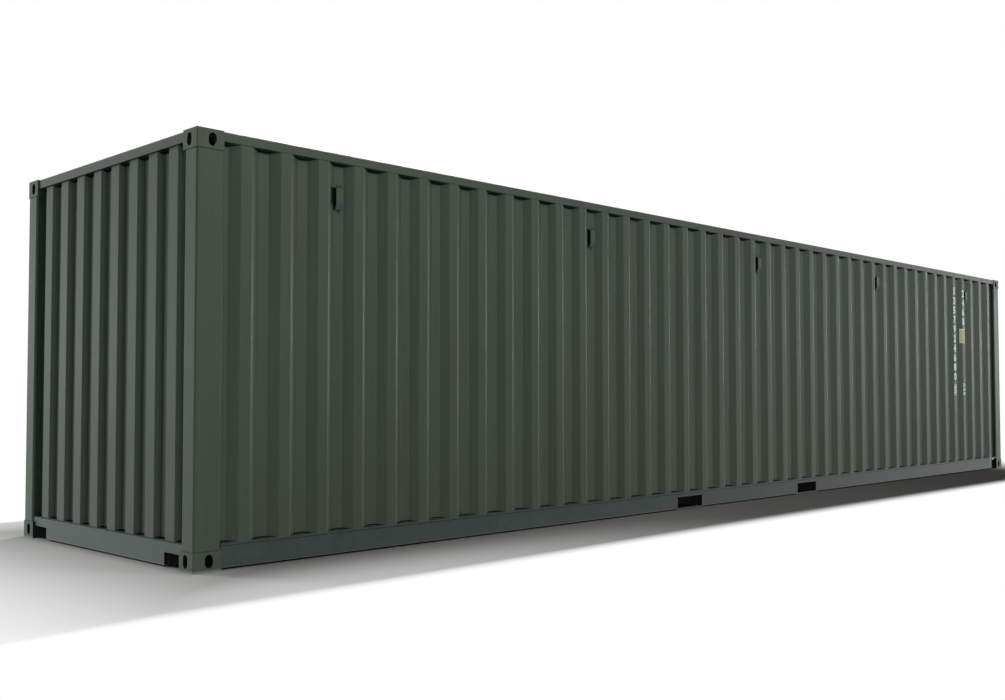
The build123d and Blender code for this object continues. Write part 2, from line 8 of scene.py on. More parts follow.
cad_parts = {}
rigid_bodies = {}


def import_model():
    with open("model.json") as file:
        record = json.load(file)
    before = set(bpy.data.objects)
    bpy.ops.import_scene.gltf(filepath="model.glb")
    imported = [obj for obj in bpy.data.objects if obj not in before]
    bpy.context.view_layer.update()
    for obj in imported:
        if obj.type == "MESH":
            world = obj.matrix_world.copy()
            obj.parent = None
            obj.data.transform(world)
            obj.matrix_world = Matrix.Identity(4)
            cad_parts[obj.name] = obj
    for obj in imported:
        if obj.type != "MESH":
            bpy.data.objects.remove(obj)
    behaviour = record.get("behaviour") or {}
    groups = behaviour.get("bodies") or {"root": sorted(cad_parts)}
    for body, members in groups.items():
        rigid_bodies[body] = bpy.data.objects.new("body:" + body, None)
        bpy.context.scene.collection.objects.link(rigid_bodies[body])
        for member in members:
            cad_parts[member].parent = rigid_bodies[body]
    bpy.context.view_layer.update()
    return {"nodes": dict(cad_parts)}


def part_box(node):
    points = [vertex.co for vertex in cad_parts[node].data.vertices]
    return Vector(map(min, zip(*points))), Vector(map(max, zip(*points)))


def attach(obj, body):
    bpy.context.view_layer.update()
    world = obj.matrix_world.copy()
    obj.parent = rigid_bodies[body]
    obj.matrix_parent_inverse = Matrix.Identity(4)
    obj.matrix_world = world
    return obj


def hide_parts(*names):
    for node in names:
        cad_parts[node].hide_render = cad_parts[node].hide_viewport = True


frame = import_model()
print("frame loaded:", len(frame["nodes"]), "nodes")


# Camera, as fitted to the edges of the photograph
photoCamera = {
    "place": (-9.2635, -6.9487, 1.0306),
    "yaw": 46.148,
    "pitch": 2.088,
    "roll": -0.089,
    "lens": 38.853,
    "shift": (-0.02804, 0.00421),
    "sensor": 36.0,
    "farthest": 300.0,
}


def addCamera(sizes):
    yaw, pitch, roll = (radians(sizes[key]) for key in ("yaw", "pitch", "roll"))
    ahead = Vector((sin(yaw) * cos(pitch), cos(yaw) * cos(pitch), sin(pitch)))
    level = Vector((cos(yaw), -sin(yaw), 0))
    up = level.cross(ahead)
    right = level * cos(roll) + up * sin(roll)
    top = up * cos(roll) - level * sin(roll)
    bpy.ops.object.camera_add()
    camera = bpy.context.object
    camera.name = "photo_camera"
    turn = Matrix((right, top, -ahead)).transposed().to_4x4()
    camera.matrix_world = Matrix.Translation(sizes["place"]) @ turn
    camera.data.lens = sizes["lens"]
    camera.data.sensor_width = sizes["sensor"]
    camera.data.shift_x, camera.data.shift_y = sizes["shift"]
    camera.data.clip_end = sizes["farthest"]
    bpy.context.scene.camera = camera


addCamera(photoCamera)
print("camera in place")


# A wire is one output of a node; sums on wires become Math nodes
class Wire:
    def __init__(self, recipe, socket):
        self.recipe = recipe
        self.socket = socket

    def __add__(self, other):
        return self.recipe.math("ADD", self, other)

    def __radd__(self, other):
        return self.recipe.math("ADD", other, self)

    def __sub__(self, other):
        return self.recipe.math("SUBTRACT", self, other)

    def __rsub__(self, other):
        return self.recipe.math("SUBTRACT", other, self)

    def __mul__(self, other):
        return self.recipe.math("MULTIPLY", self, other)

    def __rmul__(self, other):
        return self.recipe.math("MULTIPLY", other, self)

    def __truediv__(self, other):
        return self.recipe.math("DIVIDE", self, other)

    def __rtruediv__(self, other):
        return self.recipe.math("DIVIDE", other, self)


# A recipe is one material, or the world, and the nodes in it
class Recipe:
    def __init__(self, owner):
        if isinstance(owner, str):
            owner = bpy.data.materials.new(owner)
            owner.use_nodes = True
        self.material = owner
        self.tree = owner.node_tree
        self.tree.nodes.clear()

    @property
    def place(self):
        return self.add("ShaderNodeTexCoord", {}, {}, "Object")

    def add(self, kind, settings, sockets, out=0):
        node = self.tree.nodes.new(kind)
        for key, value in settings.items():
            setattr(node, key, value)
        for key, value in sockets.items():
            if isinstance(value, Wire):
                self.tree.links.new(value.socket, node.inputs[key])
            else:
                node.inputs[key].default_value = value
        return Wire(self, node.outputs[out]) if len(node.outputs) else node

    def math(self, operation, *values):
        return self.add("ShaderNodeMath", {"operation": operation}, dict(enumerate(values)))

    def noise(self, scale, detail=3.0, rough=0.5, stretch=(1, 1, 1), shift=(0, 0, 0)):
        place = self.add("ShaderNodeMapping", {}, {
            "Vector": self.place, "Scale": stretch, "Location": shift})
        return self.add("ShaderNodeTexNoise", {}, {
            "Vector": place, "Scale": scale, "Detail": detail, "Roughness": rough})

    def ramp(self, value, low, high, start=0.0, end=1.0):
        return self.add("ShaderNodeMapRange", {"interpolation_type": "SMOOTHSTEP"}, {
            "Value": value, "From Min": low, "From Max": high, "To Min": start, "To Max": end})

    def blend(self, factor, first, second):
        return self.add("ShaderNodeMix", {"data_type": "RGBA"}, {
            0: factor, 6: first, 7: second}, 2)

    def axis(self, name):
        return self.add("ShaderNodeSeparateXYZ", {}, {0: self.place}, name)

    def bump(self, height, distance, under=None):
        sockets = {"Height": height, "Distance": distance, "Strength": 1.0}
        if under is not None:
            sockets["Normal"] = under
        return self.add("ShaderNodeBump", {}, sockets)

    def seenDirectly(self):
        # 1 for what the camera sees, also in a mirror or through glass
        rays = [
            self.add("ShaderNodeLightPath", {}, {}, "Is %s Ray" % kind)
            for kind in ("Camera", "Glossy", "Transmission")]
        return self.math("MAXIMUM", self.math("MAXIMUM", rays[0], rays[1]), rays[2])

    def finish(self, sockets, dark=None, darkTone=None):
        # dark masks where painted shade covers the surface: there it is matt and has the dark shade
        # tone instead
        shader = self.add("ShaderNodeBsdfPrincipled", {}, sockets)
        if dark is not None:
            matt = self.add("ShaderNodeBsdfPrincipled", {}, {
                "Base Color": darkTone, "Roughness": 1.0, "Specular IOR Level": 0.0})
            shader = self.add("ShaderNodeMixShader", {}, {0: dark, 1: shader, 2: matt})
        self.add("ShaderNodeOutputMaterial", {}, {"Surface": shader})
        return self.material


def colour(red, green, blue):
    return (red, green, blue, 1.0)


paintLook = {
    "deep": colour(0.044, 0.055, 0.034),
    "pale": colour(0.051, 0.064, 0.040),
    "brown": colour(0.050, 0.052, 0.033),
    "dust": colour(0.085, 0.092, 0.080),
    "valleyShade": colour(0.012, 0.018, 0.013),
    # corner is the tone of the painted shade wedges at the valleys' feet and heads
    "corner": colour(0.004, 0.006, 0.004),
    "wedge": 0.022,
    "footWedge": 0.6,
    "floorGleam": colour(0.19, 0.215, 0.205),
    "roughness": 0.35,
    "gloss": 0.26,
    "sheetWave": 0.0003,
    "dustTop": 0.50,
}

# Painted shade in a pressed wall: the axis that it looks along, the place of its outer flats, the
# depth of its valleys, the share of painted shade in them, and the levels of their feet and heads
sideValleys = {
    "axis": "Y", "face": 1.215, "depth": 0.036, "share": 0.10, "foot": 0.158, "head": 2.528}
endValleys = {
    "axis": "X", "face": 6.073, "depth": 0.031, "share": 0.78, "foot": 0.157, "head": 2.524}


def paintRecipe(
        name, look, wave=0.0, grain=0.00002, grainScale=420.0, extraRough=0.0, valleys=None,
        base=0.0):
    # Matt olive grey coat: slow changes of tone, faint upright runs, a little dust low down, and
    # painted shade in the valleys of pressed walls.
    # base is the height up to which the foot of the piece is painted pale, a painted reflection of
    # the floor
    recipe = Recipe(name)
    tone = recipe.noise(0.55, 4.0, 0.55)
    runs = recipe.noise(1.0, 3.0, 0.55, stretch=(16, 16, 0.55), shift=(3, 7, 1))
    mottle = recipe.noise(38.0, 4.0, 0.6, shift=(1, 4, 2))
    mix = recipe.ramp(tone * 0.5 + runs * 0.3 + mottle * 0.2, 0.36, 0.64)
    coat = recipe.blend(mix, look["deep"], look["pale"])
    faded = recipe.noise(1.0, 3.0, 0.6, stretch=(9, 9, 0.35), shift=(8, 2, 3))
    coat = recipe.blend(recipe.ramp(faded, 0.50, 0.66) * 0.5, coat, look["brown"])
    level = recipe.axis("Z")
    dark = None
    if valleys:
        place = recipe.math("ABSOLUTE", recipe.axis(valleys["axis"]))
        sunk = (valleys["face"] - place) / valleys["depth"]
        # Painted shade: the deep parts of the valleys are darkened
        shadedValleys = recipe.ramp(sunk, 0.5, 0.9) * (valleys["share"] + (mottle - 0.5) * 0.2)
        coat = recipe.blend(shadedValleys, coat, look["valleyShade"])
        # Painted shade: dark wedges at the feet and heads, the higher the deeper the sheet lies
        reach = recipe.math("MAXIMUM", sunk, 0.02) * look["wedge"]
        feet = recipe.ramp((level - valleys["foot"]) / (reach * look["footWedge"]), 1.0, 0.6)
        heads = recipe.ramp((valleys["head"] - level) / reach, 1.0, 0.6)
        dark = (feet + heads) * 0.95
    if base:
        # Painted reflection of the floor: the lowest part of the piece is painted pale
        gleamingFoot = recipe.ramp(level, base, base * 0.5) * 0.85
        coat = recipe.blend(gleamingFoot, coat, look["floorGleam"])
    low = recipe.ramp(level, look["dustTop"], 0.0)
    dust = low * recipe.ramp(recipe.noise(7.0, 5.0, 0.62, shift=(5, 0, 9)), 0.42, 0.72) * 0.22
    coat = recipe.blend(dust, coat, look["dust"])
    rough = look["roughness"] + extraRough + (mottle - 0.5) * 0.12 + dust * 0.25
    skin = recipe.bump(recipe.noise(grainScale, 2.0, 0.5), grain)
    if wave:
        skin = recipe.bump(recipe.noise(1.7, 1.0, 0.4, shift=(0, 2, 5)), wave, under=skin)
    sockets = {
        "Base Color": coat, "Roughness": rough, "Normal": skin,
        "Specular IOR Level": look["gloss"]}
    return recipe.finish(sockets, dark, look["corner"])


railLook = dict(
    paintLook, deep=colour(0.026, 0.040, 0.032), pale=colour(0.031, 0.047, 0.038),
    brown=colour(0.030, 0.040, 0.031), roughness=0.32, gloss=0.27)

# The front sill is a little paler than the rails
sillLook = dict(
    railLook, deep=colour(0.046, 0.068, 0.060), pale=colour(0.053, 0.078, 0.069),
    brown=colour(0.050, 0.070, 0.060))


def markRecipe(name, tint, wear):
    recipe = Recipe(name)
    fade = recipe.noise(60.0, 4.0, 0.6)
    coat = recipe.blend(recipe.ramp(fade, 0.3, 0.7), tint, wear)
    skin = recipe.bump(recipe.noise(500.0, 2.0), 0.00002)
    return recipe.finish({
        "Base Color": coat, "Roughness": 0.5 + (fade - 0.5) * 0.2, "Normal": skin})


def zincRecipe(name):
    # Hot-dip zinc: soft crystals and dull patches
    recipe = Recipe(name)
    cells = recipe.add(
        "ShaderNodeTexVoronoi", {}, {"Vector": recipe.place, "Scale": 60.0}, "Color")
    crystal = recipe.add("ShaderNodeSeparateColor", {}, {0: cells}, "Red")
    dull = recipe.noise(9.0, 4.0, 0.6)
    tone = recipe.ramp(crystal * 0.5 + dull * 0.5, 0.2, 0.8)
    coat = recipe.blend(tone, colour(0.21, 0.22, 0.22), colour(0.36, 0.37, 0.38))
    skin = recipe.bump(recipe.noise(260.0, 3.0), 0.00005)
    return recipe.finish({
        "Base Color": coat, "Metallic": 0.85, "Roughness": 0.42 + dull * 0.18, "Normal": skin})


def undersideRecipe(name):
    # Thick dark wax coat under the floor
    recipe = Recipe(name)
    tone = recipe.noise(3.0, 5.0, 0.6)
    spatter = recipe.noise(85.0, 4.0, 0.65)
    coat = recipe.blend(
        recipe.ramp(tone, 0.35, 0.65), colour(0.022, 0.022, 0.020), colour(0.045, 0.043, 0.038))
    coat = recipe.blend(recipe.ramp(spatter, 0.58, 0.75) * 0.5, coat, colour(0.085, 0.078, 0.064))
    skin = recipe.bump(spatter, 0.0012)
    return recipe.finish({
        "Base Color": coat, "Roughness": 0.62 + (spatter - 0.5) * 0.3, "Normal": skin})


def plywoodRecipe(name):
    recipe = Recipe(name)
    grain = recipe.noise(1.0, 6.0, 0.65, stretch=(2.2, 46, 46))
    fine = recipe.noise(1.0, 3.0, 0.6, stretch=(14, 260, 260), shift=(4, 1, 0))
    tone = recipe.ramp(grain * 0.7 + fine * 0.3, 0.3, 0.7)
    coat = recipe.blend(tone, colour(0.13, 0.055, 0.028), colour(0.27, 0.135, 0.07))
    joint = recipe.ramp(recipe.math("PINGPONG", recipe.axis("X"), 1.2), 0.0, 0.004, 1.0, 0.0)
    coat = recipe.blend(joint * 0.85, coat, colour(0.02, 0.012, 0.008))
    skin = recipe.bump(fine - joint * 3.0, 0.0005)
    return recipe.finish({
        "Base Color": coat, "Roughness": 0.58 + (grain - 0.5) * 0.3, "Normal": skin})


def rubberRecipe(name, tint, bloom, gloss=0.5):
    # Dull black with a paler bloom, also for painted shade in corners, the vents' slats and rivet
    # heads
    recipe = Recipe(name)
    dust = recipe.noise(25.0, 4.0, 0.6)
    coat = recipe.blend(recipe.ramp(dust, 0.45, 0.8), tint, bloom)
    skin = recipe.bump(recipe.noise(300.0, 3.0), 0.00015)
    return recipe.finish({
        "Base Color": coat, "Roughness": 0.62 + (dust - 0.5) * 0.3, "Normal": skin,
        "Specular IOR Level": gloss})


def clothAndShadeRecipe(name):
    # Fine near-black wire cloth behind the open sides of a vent; its black also stands in for the
    # shade in and beside the vent
    recipe = Recipe(name)
    weave = recipe.add("ShaderNodeTexChecker", {}, {"Vector": recipe.place, "Scale": 420.0}, "Fac")
    coat = recipe.blend(weave, colour(0.002, 0.003, 0.002), colour(0.006, 0.008, 0.006))
    skin = recipe.bump(weave, 0.0004)
    return recipe.finish({
        "Base Color": coat, "Roughness": 0.85 + weave * 0.1, "Normal": skin,
        "Specular IOR Level": 0.1})


sheetPaint = paintRecipe("paint_on_sheet", paintLook, wave=paintLook["sheetWave"])
sidePaint = paintRecipe(
    "paint_on_side_sheet", paintLook, wave=paintLook["sheetWave"], valleys=sideValleys)
endPaint = paintRecipe(
    "paint_on_end_sheet", paintLook, wave=paintLook["sheetWave"], valleys=endValleys)
framePaint = paintRecipe("paint_on_frame", paintLook, grain=0.00003)
railPaint = paintRecipe("paint_on_rails", railLook, grain=0.00003)
sillPaint = paintRecipe("paint_on_front_sill", sillLook, grain=0.00003)
# The castings' lowest part gets the painted reflection of the floor
castPaint = paintRecipe(
    "paint_on_castings", paintLook, grain=0.0003, grainScale=190.0, extraRough=0.08, base=0.014)
weldPaint = paintRecipe(
    "paint_on_welds", paintLook, grain=0.0012, grainScale=130.0, extraRough=-0.05)
zinc = zincRecipe("zinc_on_door_gear")
wax = undersideRecipe("wax_under_floor")
plywood = plywoodRecipe("plywood_floor")
rubber = rubberRecipe("rubber_seal", colour(0.012, 0.012, 0.012), colour(0.04, 0.04, 0.038))
grille = rubberRecipe("vent_grille", colour(0.030, 0.034, 0.048), colour(0.048, 0.054, 0.074))
# Near-black painted shade for hollows, undersides, pockets and shadow lines
cornerShade = rubberRecipe(
    "painted_shade_in_corners", colour(0.006, 0.009, 0.006), colour(0.022, 0.028, 0.022), gloss=0.1)
mesh = clothAndShadeRecipe("vent_wire_cloth_and_shade")
rivetBlack = rubberRecipe(
    "rivet_heads", colour(0.004, 0.005, 0.004), colour(0.012, 0.012, 0.012), gloss=0.2)
whiteMark = markRecipe("white_marking", colour(0.86, 0.88, 0.84), colour(0.66, 0.69, 0.65))
yellowMark = markRecipe("yellow_plate", colour(0.70, 0.56, 0.18), colour(0.58, 0.48, 0.18))
ochreMark = markRecipe("ochre_digits", colour(0.24, 0.18, 0.04), colour(0.34, 0.26, 0.07))
print("finishes mixed")


# How near its place a corner or an edge must lie to be picked
exact, closeBy, roughly = 1e-5, 1e-4, 3e-4

# The bends in degrees from which a thin sheet's folds and a thick piece's edges are rounded
foldAngle, edgeAngle = 12, 50


def clearSelection():
    if bpy.context.object and bpy.context.object.mode != "OBJECT":
        bpy.ops.object.mode_set(mode="OBJECT")
    bpy.ops.object.select_all(action="DESELECT")


def takeUp(piece):
    clearSelection()
    piece.select_set(True)
    bpy.context.view_layer.objects.active = piece


def nameIt(piece, name):
    piece.name = name
    piece.data.name = name
    return piece


# Selects what passes the test, in edit mode; the test gets a face's middle and normal,
# an edge's middle and direction, or a vertex's place.
def pick(piece, kind, test):
    form = bmesh.from_edit_mesh(piece.data)
    bpy.ops.mesh.select_mode(type=kind)
    bpy.ops.mesh.select_all(action="DESELECT")
    if kind == "FACE":
        for face in form.faces:
            face.select_set(bool(test(face.calc_center_median(), face.normal)))
    elif kind == "EDGE":
        for edge in form.edges:
            first, second = (corner.co for corner in edge.verts)
            edge.select_set(bool(test((first + second) / 2, second - first)))
    else:
        for corner in form.verts:
            corner.select_set(bool(test(corner.co)))
    bmesh.update_edit_mesh(piece.data)


def applyModifier(piece, kind, **settings):
    takeUp(piece)
    modifier = piece.modifiers.new(kind.lower(), kind)
    for key, value in settings.items():
        setattr(modifier, key, value)
    bpy.ops.object.modifier_apply(modifier=modifier.name)


# Rounds the edges that bend by more than an angle in degrees
def bevelBends(piece, width, segments, angle):
    applyModifier(
        piece, "BEVEL", width=width, segments=segments, limit_method="ANGLE",
        angle_limit=radians(angle))


def pushOut(move):
    bpy.ops.mesh.extrude_region_move(TRANSFORM_OT_translate={"value": move})


def settle(piece):
    takeUp(piece)
    bpy.ops.object.transform_apply(location=True, rotation=True, scale=True)
    return piece


def turnOutwards(piece):
    takeUp(piece)
    bpy.ops.object.mode_set(mode="EDIT")
    bpy.ops.mesh.select_all(action="SELECT")
    bpy.ops.mesh.normals_make_consistent(inside=False)
    bpy.ops.object.mode_set(mode="OBJECT")


def dress(piece, surface, slot, *replaced, smooth=35.0):
    takeUp(piece)
    bpy.ops.object.shade_smooth_by_angle(angle=radians(smooth))
    applyModifier(piece, "WEIGHTED_NORMAL", weight=80, keep_sharp=True)
    piece.data.materials.clear()
    piece.data.materials.append(surface)
    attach(piece, "root")
    if replaced:
        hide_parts(*replaced)
    return piece


# Another finish for the faces of a dressed piece that pass the test
def tint(piece, surface, test):
    piece.data.materials.append(surface)
    takeUp(piece)
    piece.active_material_index = len(piece.data.materials) - 1
    bpy.ops.object.mode_set(mode="EDIT")
    pick(piece, "FACE", test)
    bpy.ops.object.material_slot_assign()
    bpy.ops.object.mode_set(mode="OBJECT")


def acrossCopy(piece, name):
    # The same piece on the other long side, with its own mesh
    takeUp(piece)
    bpy.ops.object.duplicate(linked=False)
    other = nameIt(bpy.context.object, name)
    other.data.transform(Matrix.Diagonal((1, -1, 1, 1)))
    turnOutwards(other)
    return other


def joinAll(pieces, name):
    clearSelection()
    for piece in pieces:
        piece.select_set(True)
    bpy.context.view_layer.objects.active = pieces[0]
    bpy.ops.object.join()
    return nameIt(bpy.context.object, name)


# One piece made of a copy of the pattern at each place
def strew(pattern, name, places):
    copies = []
    for place in places:
        copy = pattern.copy()
        copy.data = pattern.data.copy()
        bpy.context.collection.objects.link(copy)
        copy.matrix_world = Matrix.Translation(place)
        copies.append(copy)
    bpy.data.objects.remove(pattern)
    return settle(joinAll(copies, name))


# A block with eased edges, between two corners
def easedBlock(name, low, high, ease):
    clearSelection()
    middle = (Vector(low) + Vector(high)) / 2
    bpy.ops.mesh.primitive_cube_add(size=1, location=middle)
    piece = nameIt(bpy.context.object, name)
    piece.scale = Vector(high) - Vector(low)
    settle(piece)
    applyModifier(piece, "BEVEL", width=ease, segments=1)
    return piece


# A copy of a steel node, cleaned of the triangles that its flat faces came in
def nodeCopy(node, name):
    takeUp(frame["nodes"][node])
    bpy.ops.object.duplicate(linked=False)
    piece = nameIt(bpy.context.object, name)
    bpy.ops.object.parent_clear(type="CLEAR_KEEP_TRANSFORM")
    bpy.ops.object.mode_set(mode="EDIT")
    bpy.ops.mesh.select_all(action="SELECT")
    bpy.ops.mesh.remove_doubles(threshold=0.00002)
    bpy.ops.mesh.dissolve_limited(angle_limit=radians(1.0))
    bpy.ops.object.mode_set(mode="OBJECT")
    return piece


# The node with its sharp edges eased as a cutter or a mould leaves them
def easeNode(node, ease, surface, slot):
    width, segments = ease
    piece = nodeCopy(node, node + "_eased")
    applyModifier(
        piece, "BEVEL", width=width, segments=segments, limit_method="ANGLE",
        angle_limit=radians(easing["sharp"]), miter_outer="MITER_ARC", use_clamp_overlap=True)
    return dress(piece, surface, slot, node, smooth=easing["smooth"])


# The node with only some folds rounded, as a press leaves them
def roundFolds(node, width, surface, slot, test):
    piece = nodeCopy(node, node + "_pressed")
    takeUp(piece)
    bpy.ops.object.mode_set(mode="EDIT")
    pick(piece, "EDGE", test)
    bpy.ops.mesh.bevel(offset=width, offset_type="OFFSET", segments=3, affect="EDGES")
    bpy.ops.object.mode_set(mode="OBJECT")
    return dress(piece, surface, slot, node, smooth=30.0)


# A bead of weld along the level edges that a sheet or a post has at one height
def edgeBead(sheet, name, level, radius):
    takeUp(sheet)
    bpy.ops.object.duplicate(linked=False)
    bead = nameIt(bpy.context.object, name)
    bpy.ops.object.mode_set(mode="EDIT")
    pick(bead, "EDGE", lambda place, way: abs(place.z - level) < closeBy and abs(way.z) < exact)
    bpy.ops.mesh.select_all(action="INVERT")
    bpy.ops.mesh.delete(type="EDGE_FACE")
    pick(bead, "VERT", lambda corner: abs(corner.z - level) > closeBy)
    bpy.ops.mesh.delete(type="VERT")
    bpy.ops.object.mode_set(mode="OBJECT")
    bpy.ops.object.convert(target="CURVE")
    bead.data.bevel_depth = radius
    bead.data.bevel_resolution = 1
    bead.data.use_fill_caps = True
    bpy.ops.object.convert(target="MESH")
    return nameIt(bead, name)


# Width and steps of each kind's eased edges, and the angles in degrees from which an edge counts
# as sharp and up to which faces are shaded smooth
easing = {
    "castings": (0.0055, 3),
    "posts": (0.0030, 2),
    "rails": (0.0030, 2),
    "doors": (0.0015, 2),
    "gear": (0.0018, 2),
    "rubber": (0.0040, 3),
    "sharp": 32.0,
    "smooth": 38.0,
}
castings = [name for name in frame["nodes"] if name.startswith("fitting_")]
posts = ["front_post_left", "front_post_right", "rear_post_left", "rear_post_right"]
rails = [
    "top_rail_left", "top_rail_right", "bottom_rail_left", "bottom_rail_right",
    "front_header", "front_sill", "rear_header", "rear_sill", "pocket_straps"]
leaves = ["door_frame_left", "door_frame_right", "hinge_blades", "hinge_lugs"]
gear = [
    "cam_keepers", "bar_guides", "door_handles", "handle_catches", "hinge_pins", "locking_bars"]
railFinish = {
    "bottom_rail_left": railPaint, "bottom_rail_right": railPaint, "front_sill": sillPaint}

# The lashing holes in the long sides are a little narrower than the standard ones
sideHole = {
    "x": 5.9945, "levels": (0.0615, 2.5295), "reach": (0.0385, 0.0455), "wall": 1.2005,
    "share": 0.82,
}

# Painted shadow lines where a post meets its fittings
postShadowLines = {"radius": 0.0022, "levels": {"foot": 0.118, "head": 2.473}}

# Where painted shade covers the paint: how deep inside a fitting, above and below which level of a
# bottom rail, and behind which plane of the front sill
shadeStarts = {"inFitting": 0.0065, "railTop": 0.15, "railFoot": 0.03, "sillBack": -6.075}


def narrowSideHole(piece, sizes):
    reachX, reachZ = sizes["reach"]
    takeUp(piece)
    bpy.ops.object.mode_set(mode="EDIT")
    for side in (-1, 1):
        for level in sizes["levels"]:
            middle = Vector((side * sizes["x"], 0, level))
            pick(piece, "VERT", lambda corner, middle=middle: (
                abs(corner.y) > sizes["wall"] and abs(corner.x - middle.x) < reachX
                and abs(corner.z - middle.z) < reachZ))
            bpy.ops.transform.resize(value=(sizes["share"], 1, 1), center_override=middle)
    bpy.ops.object.mode_set(mode="OBJECT")


# How deep a place lies in a box
def depthIn(place, low, high):
    return min(min(place[axis] - low[axis], high[axis] - place[axis]) for axis in range(3))


# The faces of a fitting that look along or across the container towards its middle
def facesInwards(middle, normal):
    return normal.y * middle.y < -0.9 or normal.x * middle.x < -5.0


def railUnderside(middle, normal):
    return normal.z < -0.9


def railShade(middle, normal):
    level = middle.z > shadeStarts["railTop"] or middle.z < shadeStarts["railFoot"]
    return level and abs(normal.z) > 0.9


def sillShade(middle, normal):
    return middle.x > shadeStarts["sillBack"] or normal.z > 0.25


# Faces given painted shade: undersides of the top rails and header, level faces of the bottom rails
# in the valleys and under them, and the front sill behind its face
railTints = {
    "top_rail_left": railUnderside, "top_rail_right": railUnderside,
    "front_header": railUnderside, "bottom_rail_left": railShade, "bottom_rail_right": railShade,
    "front_sill": sillShade,
}

for node in castings:
    piece = easeNode(node, easing["castings"], castPaint, "castings")
    low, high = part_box(node)
    # Painted shade inside each casting, and on the inward faces of the bottom ones
    tint(piece, cornerShade, lambda middle, normal, low=low, high=high: (
        depthIn(middle, low, high) > shadeStarts["inFitting"]))
    if node.endswith("bottom"):
        tint(piece, cornerShade, facesInwards)
    narrowSideHole(piece, sideHole)
for node in posts:
    for end, level in postShadowLines["levels"].items():
        post = nodeCopy(node, "post")
        bead = edgeBead(post, node + "_seam_" + end, level, postShadowLines["radius"])
        bpy.data.objects.remove(post)
        dress(bead, cornerShade, "paint", smooth=80.0)
    easeNode(node, easing["posts"], framePaint, "paint")
for node in rails:
    slot = "underframe" if node == "pocket_straps" else "paint"
    piece = easeNode(node, easing["rails"], railFinish.get(node, framePaint), slot)
    if node in railTints:
        tint(piece, cornerShade, railTints[node])
for node in leaves:
    easeNode(node, easing["doors"], framePaint, "paint")
for node in gear:
    easeNode(node, easing["gear"], zinc, "door_gear")
for node in ("door_gasket_left", "door_gasket_right"):
    easeNode(node, easing["rubber"], rubber, "rubber")
print("steel edges eased")

# Shadow line under the proud lip of each bottom rail
lipShadowLine = {
    "start": -5.916, "end": 5.676, "low": 0.1402, "high": 0.1438, "face": 1.2154, "back": 1.2140,
    "ease": 0.0002,
}
for side, name in ((-1, "left"), (1, "right")):
    first, last = sorted((side * lipShadowLine["face"], side * lipShadowLine["back"]))
    seam = easedBlock(
        "rail_lip_seam_" + name, (lipShadowLine["start"], first, lipShadowLine["low"]),
        (lipShadowLine["end"], last, lipShadowLine["high"]), lipShadowLine["ease"])
    dress(seam, cornerShade, "paint")


# Pressed sheets: one fold is drawn, repeated, rounded and given its thickness
wallLow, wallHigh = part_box("side_wall_left")
sideWall = {
    "pitch": 0.280, "flat": 0.072, "slope": 0.068, "depth": 0.036, "count": 42,
    "firstFlat": -5.800, "face": wallLow.y, "start": wallLow.x, "end": wallHigh.x,
    "bottom": wallLow.z, "top": wallHigh.z, "thickness": 0.002, "bend": 0.006, "rounds": 3,
    "weld": 0.0018,
}
endLow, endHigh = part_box("front_wall")
frontWall = {
    "pitch": 0.2575, "flat": 0.115, "slope": 0.018, "depth": 0.031, "count": 8,
    "firstFlat": -0.95875, "face": endLow.x, "start": endLow.y, "end": endHigh.y,
    "bottom": endLow.z, "top": endHigh.z, "thickness": 0.002, "bend": 0.005, "rounds": 3,
    "weld": 0.0025,
}


def foldedSheet(name, sizes):
    # Runs along X, outer flats at sizes["face"] and facing -Y
    inner = sizes["face"] + sizes["depth"]
    start = sizes["firstFlat"] - sizes["slope"]
    gap = sizes["pitch"] - sizes["flat"] - 2 * sizes["slope"]
    middle = (sizes["bottom"] + sizes["top"]) / 2
    clearSelection()
    bpy.ops.mesh.primitive_plane_add(
        size=1, location=(start + sizes["slope"] / 2, 0, middle), rotation=(pi / 2, 0, 0))
    sheet = nameIt(bpy.context.object, name)
    sheet.scale = (sizes["slope"], sizes["top"] - sizes["bottom"], 1)
    settle(sheet)
    bpy.ops.object.mode_set(mode="EDIT")
    pick(sheet, "VERT", lambda corner: corner.x < start + sizes["slope"] / 2)
    bpy.ops.transform.translate(value=(0, inner, 0))
    pick(sheet, "VERT", lambda corner: corner.x > start + sizes["slope"] / 2)
    bpy.ops.transform.translate(value=(0, sizes["face"], 0))
    edge = start + sizes["slope"]
    for run, rise in ((sizes["flat"], 0), (sizes["slope"], sizes["depth"]), (gap, 0)):
        pick(sheet, "EDGE", lambda place, way, at=edge: abs(place.x - at) < exact)
        pushOut((run, rise, 0))
        edge += run
    bpy.ops.object.mode_set(mode="OBJECT")
    applyModifier(
        sheet, "ARRAY", count=sizes["count"], use_relative_offset=False, use_constant_offset=True,
        constant_offset_displace=(sizes["pitch"], 0, 0), use_merge_vertices=True,
        merge_threshold=closeBy)
    takeUp(sheet)
    bpy.ops.object.mode_set(mode="EDIT")
    pick(sheet, "EDGE", lambda place, way: abs(place.x - start) < closeBy)
    pushOut((sizes["start"] - start, 0, 0))
    last = start + sizes["count"] * sizes["pitch"]
    pick(sheet, "VERT", lambda corner: abs(corner.x - last) < closeBy)
    bpy.ops.transform.translate(value=(sizes["end"] - last, 0, 0))
    bpy.ops.object.mode_set(mode="OBJECT")
    bevelBends(sheet, sizes["bend"], sizes["rounds"], foldAngle)
    return sheet


def thicken(sheet, thickness, outward):
    # outward is the direction that the finished face looks in
    takeUp(sheet)
    facing = [face.normal.dot(Vector(outward)) * face.area for face in sheet.data.polygons]
    if sum(facing) < 0:
        bpy.ops.object.mode_set(mode="EDIT")
        bpy.ops.mesh.select_all(action="SELECT")
        bpy.ops.mesh.flip_normals()
        bpy.ops.object.mode_set(mode="OBJECT")
    applyModifier(sheet, "SOLIDIFY", thickness=thickness, offset=-1, use_even_offset=True)


